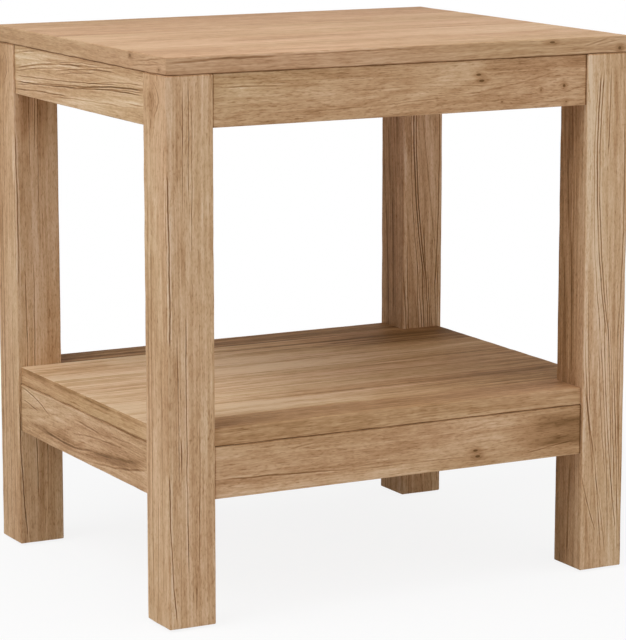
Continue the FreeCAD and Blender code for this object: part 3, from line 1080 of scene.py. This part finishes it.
def turned(x, y, rings, shape=None):
    """The points and faces of a turned piece round a place, from the radii and levels of its rings.
    A shape takes a ring's radii, levels and turns, and gives its radii and levels."""
    turns = np.arange(TURN_POINTS) * 2 * math.pi / TURN_POINTS
    points, faces = [], []
    for radius, level in rings:
        radii, levels = np.full(TURN_POINTS, radius), np.full(TURN_POINTS, level)
        if shape:
            radii, levels = shape(radii, levels, turns)
        points.append(np.stack([x + radii * np.cos(turns), y + radii * np.sin(turns), levels], axis=1))
    for start in range(0, (len(rings) - 1) * TURN_POINTS, TURN_POINTS):
        for number in range(TURN_POINTS):
            here, after = start + number, start + (number + 1) % TURN_POINTS
            faces.append([here, after, after + TURN_POINTS, here + TURN_POINTS])
    last = (len(rings) - 1) * TURN_POINTS
    faces.append(list(range(TURN_POINTS))[::-1])
    faces.append(list(range(last, last + TURN_POINTS)))
    return np.concatenate(points), faces


def turned_piece(node, skins, material):
    """A Blender piece of one or more turned skins, which replaces a CAD node."""
    points, faces = [], []
    for skin_points, skin_faces in skins:
        faces.extend([len(points) + corner for corner in face] for face in skin_faces)
        points.extend(skin_points.tolist())
    mesh = bpy.data.meshes.new(node + "_turned")
    mesh.from_pydata(points, [], faces)
    mesh.shade_smooth()
    mesh.set_sharp_from_angle(angle=math.radians(50))
    add_piece(mesh.name, mesh, node, material)


def screw(x, y, low, high):
    """The skin of a wood screw that points up: a domed head with a cross recess, and a thread."""
    seat = low + SCREW_HEAD
    rings = [(radius * MM, low + level * MM) for radius, level in SCREW_DOME]
    rings.append((SCREW_SHANK, seat))
    for level in np.arange(seat + THREAD_STEP, high - 0.2 * MM, THREAD_STEP):
        rings.append((SCREW_SHANK * min(1.0, (high - level) / SCREW_TIP), level))

    def shape(radii, levels, turns):
        if levels[0] > seat + SCREW_PLAIN:
            crest = 0.5 + 0.5 * np.cos(2 * math.pi * levels / THREAD_PITCH - turns)
            return radii * (1 - crest * THREAD_DEPTH / SCREW_SHANK), levels
        if levels[0] > low + 0.3 * MM:
            return radii, levels
        off_arm = np.minimum(np.abs(radii * np.cos(turns)), np.abs(radii * np.sin(turns)))
        depth = np.clip((RECESS_SIDE - off_arm) * 4, 0, RECESS_DEPTH)
        return radii, levels + depth * np.clip((RECESS_REACH - radii) / (0.5 * MM), 0, 1)

    return turned(x, y, rings, shape)


def make_screws(node, material):
    """The four screws of one level."""
    low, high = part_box(node)
    inset = SCREW_HEAD_RADIUS
    places = itertools.product((low.x + inset, high.x - inset), (low.y + inset, high.y - inset))
    turned_piece(node, [screw(x, y, low.z, high.z) for x, y in places], material)


def make_glide(node, material):
    """A glide with a rounded rim."""
    low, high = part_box(node)
    middle = (low + high) / 2
    rings = [(radius * MM, low.z + level * MM) for radius, level in GLIDE_OUTLINE]
    turned_piece(node, [turned(middle.x, middle.y, rings)], material)


steel, nylon = make_steel(), make_nylon()
for corner, angle in (("front_left", -45), ("back_right", -45), ("front_right", 45), ("back_left", 45)):
    sawn = sawn_wood("block_wood_" + corner, math.radians(angle))
    dress(f"top_block_{corner}", sawn)
    dress(f"shelf_block_{corner}", sawn)
    make_glide(f"glide_{corner}", nylon)
dress("glide_nails", steel)
make_screws("top_screws", steel)
make_screws("shelf_screws", steel)

# ---- floor, lamps and camera


def light_path(tree, *outputs):
    """1 for rays of any of these kinds."""
    node = add_node(tree, "LightPath")
    total = Field(node.outputs[outputs[0]])
    for output in outputs[1:]:
        total = total.math("MAXIMUM", node.outputs[output])
    return total


def make_floor():
    """A white floor that keeps the table's shadow, and that a camera below it sees through."""
    half = FLOOR_SIZE / 2
    corners = [(-half, -half, 0), (half, -half, 0), (half, half, 0), (-half, half, 0)]
    mesh = bpy.data.meshes.new("floor")
    mesh.from_pydata(corners, [], [(0, 1, 2, 3)])
    floor = add_object("floor", mesh)
    material, tree, shader = blank_material("floor_white")
    paint(shader, (*FLOOR_COLOUR, 1.0), 1.0, 0.0)
    glow = add_node(tree, "Emission")
    glow.inputs["Strength"].default_value = 1.0
    geometry = add_node(tree, "NewGeometry").outputs
    share = Field(vector_math("LENGTH", geometry["Position"])).ramp(FLOOR_NEAR, FLOOR_FAR, FLOOR_GLOW, 1.0)
    seen = light_path(tree, *SEEN_BY) * share
    white = feed(add_node(tree, "MixShader"), seen, shader.outputs[0], glow.outputs[0])
    below = Field(geometry["Backfacing"]) * light_path(tree, "Is Camera Ray")
    clear = add_node(tree, "BsdfTransparent").outputs[0]
    put(tree.nodes["Material Output"].inputs[0], feed(add_node(tree, "MixShader"), below, white, clear))
    mesh.materials.append(material)


def make_world():
    """A world that lights the table weakly and is plain white where it is seen."""
    world = bpy.data.worlds.new("studio")
    bpy.context.scene.world = world
    world.use_nodes = True
    background = world.node_tree.nodes["Background"]
    background.inputs["Color"].default_value = (1.0, 1.0, 1.0, 1.0)
    seen = light_path(world.node_tree, *SEEN_BY)
    put(background.inputs["Strength"], seen.ramp(0.0, 1.0, WORLD_LIGHT, 1.0))


def make_lamps():
    """Round lamps that face the table."""
    for name, (azimuth, elevation, power, colour) in LAMPS.items():
        lamp = bpy.data.lights.new(name, "AREA")
        lamp.color = colour
        lamp.shape = "DISK"
        lamp.size = LAMP_SIZE
        lamp.energy = power
        holder = add_object(name, lamp)
        turn, rise = math.radians(azimuth), math.radians(elevation)
        away = Vector((math.sin(turn) * math.cos(rise), -math.cos(turn) * math.cos(rise), math.sin(rise)))
        holder.location = LAMP_TARGET + away * LAMP_DISTANCE
        holder.rotation_euler = away.to_track_quat("Z", "Y").to_euler()


def make_camera():
    """The camera of the photo, tilted instead of shifted."""
    lens = bpy.data.cameras.new("camera")
    lens.sensor_width = CAMERA_SENSOR
    lens.lens = CAMERA_LENS
    lens.clip_end = CAMERA_REACH
    camera = add_object("camera", lens)
    camera.location = CAMERA_PLACE
    camera.rotation_euler = (math.radians(90 - CAMERA_PITCH), 0, math.radians(-CAMERA_YAW))
    bpy.context.scene.camera = camera


make_floor()
make_world()
make_lamps()
make_camera()
bpy.context.scene.view_settings.view_transform = "Standard"
